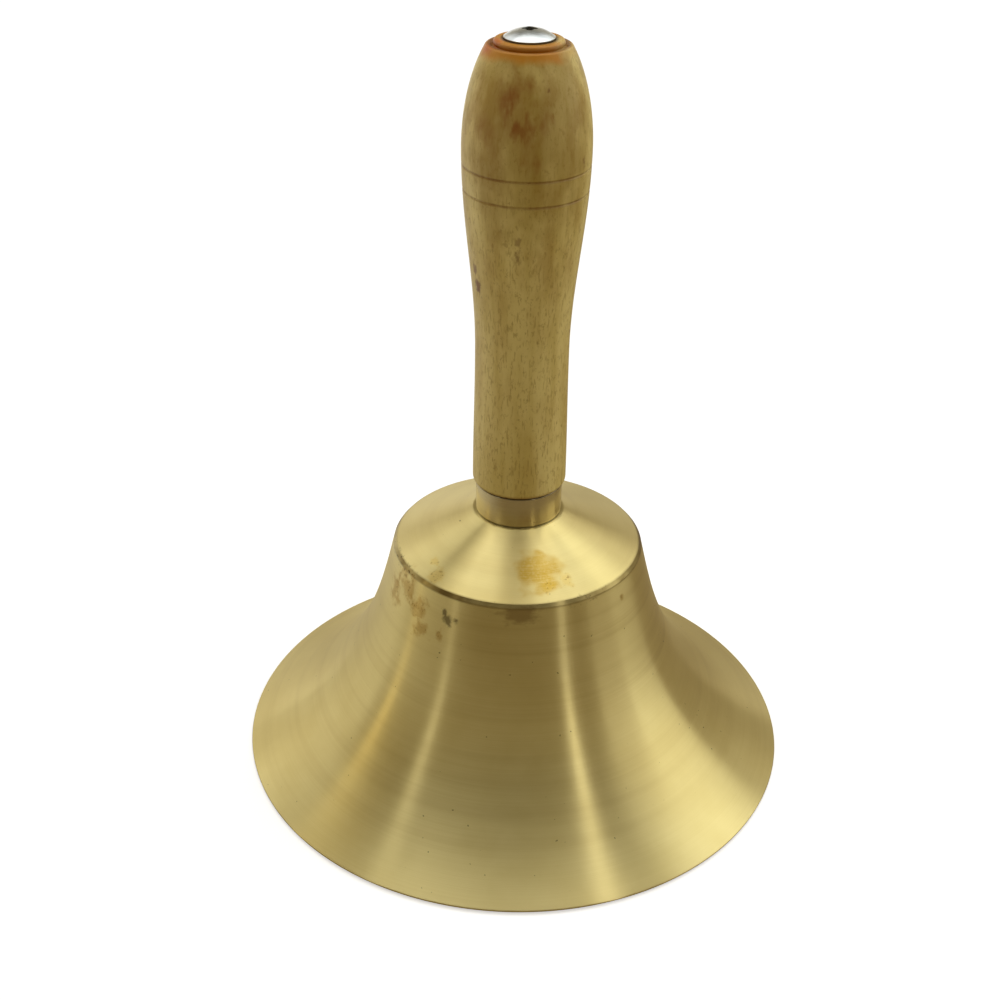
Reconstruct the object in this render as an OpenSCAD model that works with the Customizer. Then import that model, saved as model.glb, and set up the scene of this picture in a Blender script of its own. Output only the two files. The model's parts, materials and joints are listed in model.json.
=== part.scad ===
// Handbell: a flared brass bell on a turned wooden handle.
// One long screw clamps the handle, the neck collar and the bell together.
// A yoke turns on the screw's lower end, and the clapper swings on a pin through the yoke.
// Millimetres. The origin is on the bell's axis, at the level of the surface it stands on.
// +Z runs up the handle, and the clapper swings in the XZ plane at rest.

/* [Bell] */
// Diameter of the mouth, across the lip
mouth_d = 135; // [128:1:142]
// Diameter of the shoulder edge
shoulder_d = 59.3; // [57:0.1:62]
// Height of the shoulder edge above the floor
shoulder_h = 56.9; // [55:0.1:59]
// Height of the crown's flat top, where the collar sits
crown_h = 65.4; // [63.8:0.1:67]
// Thickness of the bell's wall
wall_t = 2.2; // [1.8:0.1:2.6]
// How far the waist's straight taper spreads the radius
waist_spread = 13.5; // [11:0.1:17]
// How late the waist turns out into the flare
flare_power = 3.4; // [2.8:0.1:4]

/* [Collar] */
// Diameter of the brass collar under the handle
collar_d = 20.3; // [19:0.1:21.2]
// Height of the collar
collar_h = 7.7; // [6:0.1:11]

/* [Handle] */
// Length of the wooden handle
handle_h = 101.8; // [97:0.1:107]
// Diameter of the handle's foot
handle_foot_d = 21.8; // [21.4:0.1:23]
// Diameter of the handle's narrow part
handle_waist_d = 21.1; // [20:0.1:21.8]
// Diameter of the handle's swell
handle_swell_d = 27.5; // [26.5:0.1:29]

/* [Clapper] */
// Diameter of the clapper's ball
ball_d = 20; // [17:0.5:21]
// Gap between the ball and the floor
ball_floor_gap = 4; // [3:0.5:6]
// Thickness of the yoke's strap
strap_t = 1.6; // [1.2:0.1:1.8]

/* [Hidden] */
$fn = 96;

eps = 0.5;          // how far a cutting shape runs past the face it cuts
running_gap = 0.05; // play at a face or in a hole where one piece turns on another

// Bell
mouth_r = mouth_d / 2;
shoulder_r = shoulder_d / 2;
lip_h = 0.9;         // height of the lip's outer corner above its foot
shoulder_edge = 0.5; // chamfer round the shoulder
collar_land = 0.6;   // width of the crown's flat top outside the collar
crown_r = collar_d / 2 + collar_land;
crown_t = 2.7;       // thickness of the crown's flat top
crown_hole_d = 5.4;
waist_steps = 40;    // segments down the waist
corner_steps = 6;    // segments round the inner shoulder
corner_drop = 2.6;   // how far below the shoulder the inside starts to round
corner_in = 5;       // how far inside the shoulder that rounding ends
corner_ease = 0.2;   // how far the rounding's middle point stands off the wall

// Handle
handle_z = crown_h + collar_h;
handle_top = handle_z + handle_h;
handle_waist_h = 0.332 * handle_h; // height of the narrow part above the handle's foot
handle_swell_h = 0.779 * handle_h; // height of the swell above the handle's foot
ring_groove_h = [0.697 * handle_h, 0.75 * handle_h]; // heights of the two burnt grooves
ring_groove_d = 0.35;  // depth of a burnt groove
handle_edge_r = 9;     // radius at which the dome turns in to the groove
edge_drop = 1.4;       // how far that edge lies below the handle's top
edge_round = 0.8;      // rounding there
foot_round = 1.4;      // rounding of the handle's foot
bead_r = 6.6;          // radius of the middle of the bead under the screw's head
bead_t = 1.5;          // thickness of the bead
groove_sink = 0.1;     // how far the groove goes below the bead
handle_step = 1.5;     // length of one segment along the handle
foot_steps = 5;        // segments round the handle's foot
edge_steps = 8;        // segments round the dome's edge
bead_steps = 10;       // segments round the bead
handle_bore_d = 5.6;

// Screw and its stack below the crown, all M5
screw_d = 5;
head_d = 10.6;
head_h = 2.1;
head_edge = 0.35;    // height of the head's straight rim
recess_w = 4.2;      // span of the cross recess
recess_arm = 1.1;    // width of one arm of the cross
recess_depth = 1.3;
crown_z = crown_h - crown_t;
crown_washer_d = 15;
crown_washer_t = 1.2;
spring_washer_d = 9.2;
spring_washer_t = 1.2;
nut_af = 8;          // across flats of an M5 nut
nut_h = 4;
jam_nut_h = 2.7;
small_washer_d = 10;
small_washer_t = 1.0;
spring_z = crown_z - crown_washer_t;
crown_nut_z = spring_z - spring_washer_t - nut_h;
yoke_top = crown_nut_z - running_gap;
yoke_washer_z = yoke_top - strap_t - running_gap - small_washer_t;
lock_nut_z = yoke_washer_z - jam_nut_h;
screw_proud = 1.0;   // how far the screw stands out below its last nut
screw_end = lock_nut_z - screw_proud;
washer_play = 0.2;   // how much wider a small washer's hole is than the screw

// Yoke and clapper
yoke_gap = 11.4;     // inside width of the yoke
yoke_w = 9;          // width of the yoke's strap
yoke_turn_d = screw_d + 2 * running_gap;
eye_r = 4;           // outer radius of the clapper's eye
eye_t = 3.4;         // thickness of the eye
pin_d = 3;
pin_hole_d = pin_d + 2 * running_gap;
pin_head_d = 5;
pin_head_h = 1.1;
eye_gap = 0.7;       // gap between the screw's end and the clapper's eye
pin_z = screw_end - eye_gap - eye_r;
spacer_d = 5.2;
shank_d = 4;
ball_z = ball_floor_gap + ball_d / 2;
clapper_nut_af = 7;
clapper_nut_h = 3.2;
ball_flat_h = 0.6;   // height cut from the ball's top for the nut's seat

// Radius of the bell's outside at a height, from the shoulder down to the lip
function fall(z) = (shoulder_h - z) / (shoulder_h - lip_h);
function waist_r(z) =
    shoulder_r + waist_spread * fall(z)
    + (mouth_r - shoulder_r - waist_spread) * pow(fall(z), flare_power);
// Its slope, and the point that lies one wall thickness inside it
function waist_slope(z) =
    -(waist_spread + (mouth_r - shoulder_r - waist_spread)
    * flare_power * pow(fall(z), flare_power - 1)) / (shoulder_h - lip_h);
function inner_point(z) =
    let (s = waist_slope(z), len = sqrt(1 + s * s))
    [waist_r(z) - wall_t / len, z + wall_t * s / len];

// Slope of the crown, and the height of its underside at a radius
crown_angle = atan((crown_h - shoulder_h) / (shoulder_r - crown_r));
function crown_under(r) =
    shoulder_h + (shoulder_r - r) * tan(crown_angle) - wall_t / cos(crown_angle);
function bezier(a, b, c, t) = (1 - t) * (1 - t) * a + 2 * t * (1 - t) * b + t * t * c;
function along(from, to, i, n) = from + (to - from) * i / n;

// Points of an arc in the outline's own plane
function arc(cx, cy, r, a0, a1, n) =
    [for (i = [0:n]) let (a = along(a0, a1, i, n)) [cx + r * cos(a), cy + r * sin(a)]];

// A smooth change from a to b as t goes from 0 to 1
function ease(a, b, t) = a + (b - a) * (1 - cos(180 * t)) / 2;

// Height of the dome above the swell, and of the half ellipse that it is cut from
dome_h = handle_h - edge_drop - handle_swell_h;
dome_axis = dome_h / sqrt(1 - pow(handle_edge_r / (handle_swell_d / 2), 2));

// Radius of the handle at a height above its foot
function handle_r(h) =
    h < handle_waist_h
    ? ease(handle_foot_d / 2, handle_waist_d / 2, h / handle_waist_h)
    : h < handle_swell_h
    ? ease(handle_waist_d / 2, handle_swell_d / 2,
        (h - handle_waist_h) / (handle_swell_h - handle_waist_h))
    : handle_swell_d / 2 * sqrt(1 - pow((h - handle_swell_h) / dome_axis, 2));

module ring(outer_d, inner_d, height) {
    difference() {
        cylinder(d = outer_d, h = height);
        translate([0, 0, -eps]) cylinder(d = inner_d, h = height + 2 * eps);
    }
}

// A hexagonal nut standing on z = 0, with its corners turned off at both faces
module hex_nut(across_flats, height, bore_d) {
    corner_d = across_flats / cos(30);
    turned = (corner_d - across_flats) / 2;
    difference() {
        intersection() {
            cylinder(d = corner_d, h = height, $fn = 6);
            rotate_extrude()
                polygon([
                    [0, 0], [across_flats / 2, 0],
                    [corner_d / 2, turned * tan(30)], [corner_d / 2, height - turned * tan(30)],
                    [across_flats / 2, height], [0, height]
                ]);
        }
        translate([0, 0, -eps]) cylinder(d = bore_d, h = height + 2 * eps);
    }
}

// The bell's outside, from the lip's foot to the crown
module bell_outside() {
    waist_top = shoulder_h - shoulder_edge;
    waist = [
        for (i = [0:waist_steps])
            let (z = along(lip_h, waist_top, i, waist_steps)) [waist_r(z), z]
    ];
    crown_edge_r = shoulder_r - shoulder_edge;
    rotate_extrude()
        polygon(concat(
            [[0, 0], [mouth_r - lip_h, 0]],
            waist,
            [[crown_edge_r, shoulder_h + (shoulder_r - crown_edge_r) * tan(crown_angle)]],
            [[crown_r, crown_h], [0, crown_h]]
        ));
}

// The hollow, open at the mouth, with a flat land round the screw hole
module bell_hollow() {
    start = shoulder_h - corner_drop;
    side = [
        for (i = [0:waist_steps]) inner_point(along(lip_h, start, i, waist_steps))
    ];
    under_r = shoulder_r - corner_in;
    corner_r = shoulder_r - wall_t / cos(atan(-waist_slope(start))) + corner_ease;
    corner = [
        for (i = [1:corner_steps])
            bezier(side[waist_steps], [corner_r, crown_under(corner_r)],
                [under_r, crown_under(under_r)], i / corner_steps)
    ];
    land_r = shoulder_r
        - (crown_z - shoulder_h + wall_t / cos(crown_angle)) / tan(crown_angle);
    rotate_extrude()
        polygon(concat(
            [[0, side[0][1]]],
            side,
            corner,
            [[land_r, crown_z], [0, crown_z]]
        ));
}

module bell_shell() {
    color("#c8b560")
        difference() {
            bell_outside();
            bell_hollow();
            translate([0, 0, crown_z - eps]) cylinder(d = crown_hole_d, h = crown_t + 2 * eps);
        }
}

module neck_collar() {
    color("#cfc27a")
        translate([0, 0, crown_h])
            ring(collar_d, crown_hole_d, collar_h);
}

// Half of the handle's outline, from its foot to the bead under the screw's head
module handle_outline() {
    foot_r = handle_r(foot_round);
    body_n = ceil((handle_swell_h + dome_h - foot_round) / handle_step);
    body = [
        for (i = [0:body_n])
            let (h = along(foot_round, handle_swell_h + dome_h, i, body_n)) [handle_r(h), h]
    ];
    edge_y = handle_swell_h + dome_h;
    edge_angle = atan2(
        dome_h / pow(dome_axis, 2), handle_edge_r / pow(handle_swell_d / 2, 2));
    bead_y = handle_h - bead_t / 2;
    polygon(concat(
        [[0, 0]],
        arc(foot_r - foot_round, foot_round, foot_round, -90, -15, foot_steps),
        body,
        arc(handle_edge_r - edge_round * cos(edge_angle), edge_y - edge_round * sin(edge_angle),
            edge_round, edge_angle + 10, 100, edge_steps),
        [[bead_r + bead_t / 2, bead_y - bead_t / 2 - groove_sink]],
        arc(bead_r, bead_y, bead_t / 2, -50, 90, bead_steps),
        [[0, handle_h]]
    ));
}

module handle() {
    color("#c9a765")
        translate([0, 0, handle_z])
            difference() {
                rotate_extrude() handle_outline();
                translate([0, 0, -eps]) cylinder(d = handle_bore_d, h = handle_h + 2 * eps);
                for (h = ring_groove_h)
                    rotate_extrude()
                        polygon([
                            [handle_r(h) - ring_groove_d, h],
                            [handle_r(h) + eps, h - ring_groove_d - eps],
                            [handle_r(h) + eps, h + ring_groove_d + eps]
                        ]);
            }
}

module tie_screw() {
    dome = head_h - head_edge;
    dome_r = (pow(head_d / 2, 2) + dome * dome) / (2 * dome);
    tip = 0.6;
    color("#d4d8da")
        difference() {
            union() {
                translate([0, 0, screw_end + tip])
                    cylinder(d = screw_d, h = handle_top - screw_end - tip);
                translate([0, 0, screw_end])
                    cylinder(d1 = screw_d - 2 * tip, d2 = screw_d, h = tip);
                translate([0, 0, handle_top])
                    intersection() {
                        cylinder(d = head_d, h = head_h);
                        translate([0, 0, head_h - dome_r]) sphere(r = dome_r);
                    }
            }
            for (a = [0, 90])
                translate([0, 0, handle_top + head_h - recess_depth])
                    rotate([0, 0, a])
                        translate([-recess_w / 2, -recess_arm / 2, 0])
                            cube([recess_w, recess_arm, recess_depth + eps]);
        }
}

module crown_washer() {
    color("#b9bdbf")
        translate([0, 0, spring_z])
            ring(crown_washer_d, crown_hole_d, crown_washer_t);
}

// A spring washer, split across its section
module crown_lock_washer() {
    split_w = 0.8;
    color("#9a9ea0")
        translate([0, 0, spring_z - spring_washer_t])
            difference() {
                ring(spring_washer_d, screw_d + washer_play, spring_washer_t);
                translate([0, spring_washer_d / 2, spring_washer_t / 2])
                    rotate([0, 25, 0])
                        cube([split_w, spring_washer_d, 4 * spring_washer_t], center = true);
            }
}

module crown_nut() {
    color("#c4c8ca")
        translate([0, 0, crown_nut_z])
            hex_nut(nut_af, nut_h, screw_d);
}

// A U of flat strap: a plate that turns on the screw, and two legs that hold the pin
module clapper_yoke() {
    leg_y = yoke_gap / 2;
    leg_h = yoke_top - pin_z;
    color("#a9adb0")
        difference() {
            union() {
                translate([-yoke_w / 2, -leg_y - strap_t, yoke_top - strap_t])
                    cube([yoke_w, yoke_gap + 2 * strap_t, strap_t]);
                for (side = [-1, 1])
                    translate([0, side * (leg_y + strap_t / 2), 0]) {
                        translate([0, 0, pin_z + leg_h / 2])
                            cube([yoke_w, strap_t, leg_h], center = true);
                        translate([0, 0, pin_z])
                            rotate([90, 0, 0])
                                cylinder(d = yoke_w, h = strap_t, center = true);
                    }
            }
            translate([0, 0, yoke_top - strap_t - eps])
                cylinder(d = yoke_turn_d, h = strap_t + 2 * eps);
            translate([0, 0, pin_z])
                rotate([90, 0, 0])
                    cylinder(d = pin_d, h = yoke_gap + 4 * strap_t, center = true);
        }
}

module yoke_washer() {
    color("#b9bdbf")
        translate([0, 0, yoke_washer_z])
            ring(small_washer_d, screw_d + washer_play, small_washer_t);
}

module yoke_lock_nut() {
    color("#c4c8ca")
        translate([0, 0, lock_nut_z])
            hex_nut(nut_af, jam_nut_h, screw_d);
}

// A rivet with a low domed head outside each leg of the yoke
module yoke_pin() {
    reach = yoke_gap / 2 + strap_t;
    dome_r = (pow(pin_head_d / 2, 2) + pin_head_h * pin_head_h) / (2 * pin_head_h);
    color("#8f9395")
        translate([0, 0, pin_z]) {
            rotate([90, 0, 0]) cylinder(d = pin_d, h = 2 * reach, center = true);
            for (side = [-1, 1])
                rotate([-90 * side, 0, 0])
                    translate([0, 0, reach])
                        intersection() {
                            cylinder(d = pin_head_d, h = pin_head_h);
                            translate([0, 0, pin_head_h - dome_r]) sphere(r = dome_r);
                        }
        }
}

// Two short tubes that keep the clapper's eye in the middle of the yoke
module pin_spacers() {
    length = (yoke_gap - eye_t) / 2 - running_gap;
    color("#c8b560")
        for (side = [-1, 1])
            translate([0, side * yoke_gap / 2, pin_z])
                rotate([90 * side, 0, 0])
                    ring(spacer_d, pin_d, length);
}

module clapper_shank() {
    color("#a0a4a6")
        difference() {
            union() {
                translate([0, 0, pin_z])
                    rotate([90, 0, 0])
                        cylinder(r = eye_r, h = eye_t, center = true);
                translate([0, 0, ball_z])
                    cylinder(d = shank_d, h = pin_z - ball_z);
            }
            translate([0, 0, pin_z])
                rotate([90, 0, 0])
                    cylinder(d = pin_hole_d, h = eye_t + 2 * eps, center = true);
            // The shank's top is trimmed to the eye's thickness
            for (side = [-1, 1])
                translate([-eye_r, side * (eye_t / 2 + eps) - eps, pin_z - eye_r])
                    cube([2 * eye_r, 2 * eps, 2 * eye_r]);
        }
}

// The ball is tapped for the shank and has a flat on top for the nut
module clapper_ball() {
    seat_z = ball_z + ball_d / 2 - ball_flat_h;
    color("#b4b8ba")
        difference() {
            translate([0, 0, ball_z]) sphere(d = ball_d);
            translate([0, 0, ball_z]) cylinder(d = shank_d, h = ball_d);
            translate([0, 0, seat_z]) cylinder(d = ball_d, h = ball_d);
        }
}

module clapper_nut() {
    color("#c4c8ca")
        translate([0, 0, ball_z + ball_d / 2 - ball_flat_h])
            hex_nut(clapper_nut_af, clapper_nut_h, shank_d);
}

bell_shell();
neck_collar();
handle();
tie_screw();
crown_washer();
crown_lock_washer();
crown_nut();
clapper_yoke();
yoke_washer();
yoke_lock_nut();
yoke_pin();
pin_spacers();
clapper_shank();
clapper_ball();
clapper_nut();
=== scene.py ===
"""Handbell: a satin brass bell on a turned wooden handle, with a clapper hung inside it.

Metres throughout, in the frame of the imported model: the bell stands on z = 0 and +Z runs up the handle.
Turned pieces are made by revolve(), the nuts, yoke and threads by their own functions.
"""
import json
import math

import bmesh
import bpy
from mathutils import Matrix, Vector

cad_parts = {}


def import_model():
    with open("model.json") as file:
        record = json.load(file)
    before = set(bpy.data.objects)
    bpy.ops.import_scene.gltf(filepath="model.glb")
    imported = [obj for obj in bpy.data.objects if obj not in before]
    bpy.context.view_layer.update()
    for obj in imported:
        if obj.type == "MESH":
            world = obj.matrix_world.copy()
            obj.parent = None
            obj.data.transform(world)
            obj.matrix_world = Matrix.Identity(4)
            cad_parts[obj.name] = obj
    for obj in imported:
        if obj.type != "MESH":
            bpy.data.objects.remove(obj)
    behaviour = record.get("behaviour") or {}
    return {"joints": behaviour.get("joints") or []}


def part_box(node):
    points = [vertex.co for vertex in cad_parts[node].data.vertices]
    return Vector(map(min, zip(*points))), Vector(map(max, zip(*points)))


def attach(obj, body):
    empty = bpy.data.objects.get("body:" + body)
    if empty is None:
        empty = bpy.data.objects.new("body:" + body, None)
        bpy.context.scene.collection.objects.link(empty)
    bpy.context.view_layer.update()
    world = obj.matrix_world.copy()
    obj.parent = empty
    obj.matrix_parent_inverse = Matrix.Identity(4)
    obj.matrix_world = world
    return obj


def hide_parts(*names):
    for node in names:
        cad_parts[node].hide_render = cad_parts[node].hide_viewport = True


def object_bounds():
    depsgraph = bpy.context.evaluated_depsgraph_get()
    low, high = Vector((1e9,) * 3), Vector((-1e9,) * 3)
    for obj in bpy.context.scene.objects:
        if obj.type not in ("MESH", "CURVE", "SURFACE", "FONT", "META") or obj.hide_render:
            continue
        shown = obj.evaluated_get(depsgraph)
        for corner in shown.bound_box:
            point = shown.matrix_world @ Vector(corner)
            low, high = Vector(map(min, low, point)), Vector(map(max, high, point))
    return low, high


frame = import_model()
cad_low, cad_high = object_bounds()

MM = 0.001
HAIR = 0.02 * MM  # how far a visible surface stays inside its solid

# ---------------------------------------------------------------- sizes, from the frame and the design


def top(node):
    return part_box(node)[1].z


def bottom(node):
    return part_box(node)[0].z


def reach(node):
    """Largest radius of a round node about Z."""
    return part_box(node)[1].x


def dome_radius(edge_r, rise):
    """Radius of the sphere that a low dome is a cap of."""
    return (edge_r ** 2 + rise ** 2) / (2 * rise)


# Bell
MOUTH_R = reach("bell_shell") - HAIR
CROWN_TOP = top("bell_shell")
SHOULDER_R = 29.65 * MM
SHOULDER_H = 56.9 * MM
WALL_T = 2.2 * MM
WAIST_SPREAD = 13.5 * MM
FLARE_POWER = 3.4
LIP_H = 0.9 * MM
SHOULDER_EDGE = 0.5 * MM
CROWN_UNDER = top("crown_washer")
SCREW_HOLE_R = 2.7 * MM
COLLAR_R = reach("neck_collar") - HAIR
CROWN_FLAT_R = COLLAR_R + 0.6 * MM
CROWN_SLOPE = (CROWN_TOP - SHOULDER_H) / (SHOULDER_R - CROWN_FLAT_R)

# Handle
HANDLE_FOOT = bottom("handle")
HANDLE_TOP = top("handle")
HANDLE_H = HANDLE_TOP - HANDLE_FOOT
FOOT_R = 10.9 * MM
NARROW_R = 10.55 * MM
NARROW_H = 0.332 * HANDLE_H
SWELL_R = reach("handle") - HAIR
SWELL_H = 0.779 * HANDLE_H
DOME_EDGE_R = 9.0 * MM
DOME_EDGE_H = HANDLE_H - 1.4 * MM
DOME_H = (DOME_EDGE_H - SWELL_H) / math.sqrt(1 - (DOME_EDGE_R / SWELL_R) ** 2)
BEAD_R = 6.6 * MM
BEAD_T = 1.5 * MM
HANDLE_BORE_R = 2.8 * MM
BURNT_RINGS = [HANDLE_FOOT + 0.697 * HANDLE_H, HANDLE_FOOT + 0.75 * HANDLE_H]
BURNT_DEPTH = 0.18 * MM

# Screw, nuts and clapper
SCREW_R = 2.5 * MM
SCREW_PITCH = 0.8 * MM
HEAD_R = reach("tie_screw") - HAIR
HEAD_RIM = 0.35 * MM
HEAD_DOME_R = dome_radius(HEAD_R, top("tie_screw") - HANDLE_TOP - HEAD_RIM)
RECESS_REACH = 2.1 * MM
RECESS_ARM = 1.1 * MM
SHANK_R = 2.0 * MM
SHANK_PITCH = 0.7 * MM
PIN_Z = frame["joints"][1]["pos_m"][2]
PIN_R = 1.5 * MM
STRAP_T = 1.6 * MM
EYE_R = 4.0 * MM
EYE_T = 3.4 * MM
BALL_R = reach("clapper_ball") - HAIR


# ---------------------------------------------------------------- outlines


def arc(centre_r, centre_z, radius, start, end, steps):
    """Points of an arc in an outline, with angles in degrees."""
    angles = [math.radians(start + (end - start) * i / steps) for i in range(steps + 1)]
    return [(centre_r + radius * math.cos(a), centre_z + radius * math.sin(a)) for a in angles]


def rounded(corners, steps=5):
    """A closed outline from (r, z) or (r, z, radius) corners, with each radius turned into an arc."""
    points = []
    for i, corner in enumerate(corners):
        here = Vector(corner[:2])
        radius = corner[2] if len(corner) > 2 else 0
        if not radius:
            points.append(tuple(here))
            continue
        back = (Vector(corners[i - 1][:2]) - here).normalized()
        ahead = (Vector(corners[(i + 1) % len(corners)][:2]) - here).normalized()
        half = back.angle(ahead) / 2
        centre = here + (back + ahead).normalized() * radius / math.sin(half)
        start = here + back * radius / math.tan(half) - centre
        end = here + ahead * radius / math.tan(half) - centre
        turn = math.atan2(start.x * end.y - start.y * end.x, start.dot(end))
        for k in range(steps + 1):
            points.append(tuple(centre + Matrix.Rotation(turn * k / steps, 2) @ start))
    return points


def fall(z):
    return (SHOULDER_H - z) / (SHOULDER_H - LIP_H)


def waist_r(z):
    flare = MOUTH_R - SHOULDER_R - WAIST_SPREAD
    return SHOULDER_R + WAIST_SPREAD * fall(z) + flare * fall(z) ** FLARE_POWER


def inner_point(z):
    """The point one wall thickness inside the waist at height z."""
    step = 0.01 * MM
    slope = (waist_r(z + step) - waist_r(z)) / step
    length = math.hypot(1, slope)
    return waist_r(z) - WALL_T / length, z + WALL_T * slope / length


def spun(z):
    """Faint hollows that the spinning tool leaves round the waist."""
    depth = 0.014 * MM * math.sin(math.pi * min(1, max(0, fall(z))))
    broad, narrow = z / (1.25 * MM), z / (0.47 * MM) + 1
    return -depth * (1 + 0.6 * math.sin(broad) + 0.4 * math.sin(narrow))


def bell_outline():
    """From the screw hole over the crown, down the waist, round the lip and up the inside."""
    waist_top = SHOULDER_H - SHOULDER_EDGE
    edge_r = SHOULDER_R - SHOULDER_EDGE
    hole = SCREW_HOLE_R
    corners = [
        (hole, CROWN_UNDER, 0.15 * MM), (hole, CROWN_TOP, 0.15 * MM),
        (CROWN_FLAT_R, CROWN_TOP, 1.5 * MM),
        (edge_r, SHOULDER_H + SHOULDER_EDGE * CROWN_SLOPE, 0.25 * MM),
        (waist_r(waist_top), waist_top, 0.25 * MM),
    ]
    steps = 72
    for i in range(1, steps):
        z = waist_top + (LIP_H - waist_top) * i / steps
        corners.append((waist_r(z) + spun(z), z))
    corners += [(MOUTH_R, LIP_H, 0.3 * MM), (MOUTH_R - LIP_H, 0, 0.2 * MM)]
    inside_top = SHOULDER_H - 2.6 * MM
    inside = [inner_point(LIP_H + (inside_top - LIP_H) * i / steps) for i in range(steps + 1)]
    first = next(i for i, p in enumerate(inside) if p[1] > 0)
    low, high = inside[first - 1], inside[first]
    share = -low[1] / (high[1] - low[1])
    corners.append((low[0] + (high[0] - low[0]) * share, 0, 0.2 * MM))
    corners += [p for p in inside if p[1] > 0.3 * MM]
    wall_slant = WALL_T / math.cos(math.atan(CROWN_SLOPE))
    land_r = SHOULDER_R - (CROWN_UNDER - SHOULDER_H + wall_slant) / CROWN_SLOPE
    corner_r = SHOULDER_R - 1.95 * MM
    corners.append((corner_r, SHOULDER_H + (SHOULDER_R - corner_r) * CROWN_SLOPE - wall_slant, 1.1 * MM))
    corners.append((land_r, CROWN_UNDER, 0.6 * MM))
    return rounded(corners)


def ease(a, b, t):
    """A smooth change from a to b as t goes from 0 to 1."""
    return a + (b - a) * (1 - math.cos(math.pi * t)) / 2


def handle_r(h):
    """Radius of the handle at a height above its foot."""
    if h < NARROW_H:
        return ease(FOOT_R, NARROW_R, h / NARROW_H)
    if h < SWELL_H:
        return ease(NARROW_R, SWELL_R, (h - NARROW_H) / (SWELL_H - NARROW_H))
    return SWELL_R * math.sqrt(1 - ((h - SWELL_H) / DOME_H) ** 2)


def handle_outline():
    """From the bore, round the foot, up the grip with its burnt rings, over the dome and the bead."""
    z0 = HANDLE_FOOT
    foot_round = 1.4 * MM
    foot_r = handle_r(foot_round)
    points = [(HANDLE_BORE_R, z0)]
    points += arc(foot_r - foot_round, z0 + foot_round, foot_round, -90, -8, 8)
    rings = [z - z0 for z in BURNT_RINGS]
    edges = [foot_round, *(e for h in rings for e in (h - 0.4 * MM, h + 0.4 * MM)), DOME_EDGE_H]
    for k in range(0, len(edges), 2):
        low, high = edges[k], edges[k + 1]
        steps = math.ceil((high - low) / (1.2 * MM))
        points += [
            (handle_r(low + (high - low) * i / steps), z0 + low + (high - low) * i / steps)
            for i in range(steps + 1)
        ]
        if k + 2 < len(edges):
            middle = (edges[k + 1] + edges[k + 2]) / 2
            for offset, depth in [(-0.2, 0.45), (-0.08, 0.92), (0, 1), (0.08, 0.92), (0.2, 0.45)]:
                h = middle + offset * MM
                points.append((handle_r(h) - BURNT_DEPTH * depth, z0 + h))
    edge_round = 0.8 * MM
    edge_angle = math.degrees(math.atan2((DOME_EDGE_H - SWELL_H) / DOME_H ** 2, DOME_EDGE_R / SWELL_R ** 2))
    lean = math.radians(edge_angle)
    points += arc(
        DOME_EDGE_R - edge_round * math.cos(lean), z0 + DOME_EDGE_H - edge_round * math.sin(lean),
        edge_round, edge_angle + 8, 100, 10)
    bead_z = HANDLE_TOP - BEAD_T / 2
    points += arc(BEAD_R + BEAD_T / 2 + 0.25 * MM, bead_z - BEAD_T / 2 + 0.15 * MM, 0.25 * MM, -60, -150, 4)
    points += arc(BEAD_R, bead_z, BEAD_T / 2, -40, 90, 12)
    points.append((HANDLE_BORE_R, HANDLE_TOP))
    return points


def washer_outline(bore_r, outer_r, low, high, edge):
    return rounded([
        (bore_r, low, edge), (outer_r, low, edge), (outer_r, high, edge), (bore_r, high, edge)])


# ---------------------------------------------------------------- meshes


def finished(name, mesh, body, material, replaces):
    """Turns a mesh into a piece that rides on its body and stands for its CAD nodes."""
    piece = bpy.data.objects.new(name, mesh)
    bpy.context.scene.collection.objects.link(piece)
    mesh.materials.clear()
    mesh.materials.append(material)
    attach(piece, body)
    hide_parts(*replaces)
    return piece


def new_mesh(name, made):
    """Moves what was built into a mesh."""
    mesh = bpy.data.meshes.new(name)
    made.to_mesh(mesh)
    made.free()
    return mesh


def bridge(made, here, ahead):
    """Faces between two closed rings of vertices."""
    for k in range(len(here)):
        n = (k + 1) % len(here)
        made.faces.new((here[k], here[n], ahead[n], ahead[k]))


def laid_on_pin(mesh, side=1):
    """Lays a mesh made round Z along the pin, with its top towards -Y, or towards +Y for side -1."""
    mesh.transform(Matrix.Translation((0, 0, PIN_Z)) @ Matrix.Rotation(side * math.pi / 2, 4, "X"))
    return mesh


def ring_normals(points):
    """Outline normals that lean to the longer neighbour, so flats stay flat beside small arcs."""
    edges = []
    count = len(points)
    for i in range(count):
        a, b = Vector(points[i]), Vector(points[(i + 1) % count])
        edges.append(b - a)
    normals = []
    for i in range(count):
        mean = edges[i - 1] * edges[i - 1].length + edges[i] * edges[i].length
        normals.append(Vector((mean.y, -mean.x)).normalized())
    return normals


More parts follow.
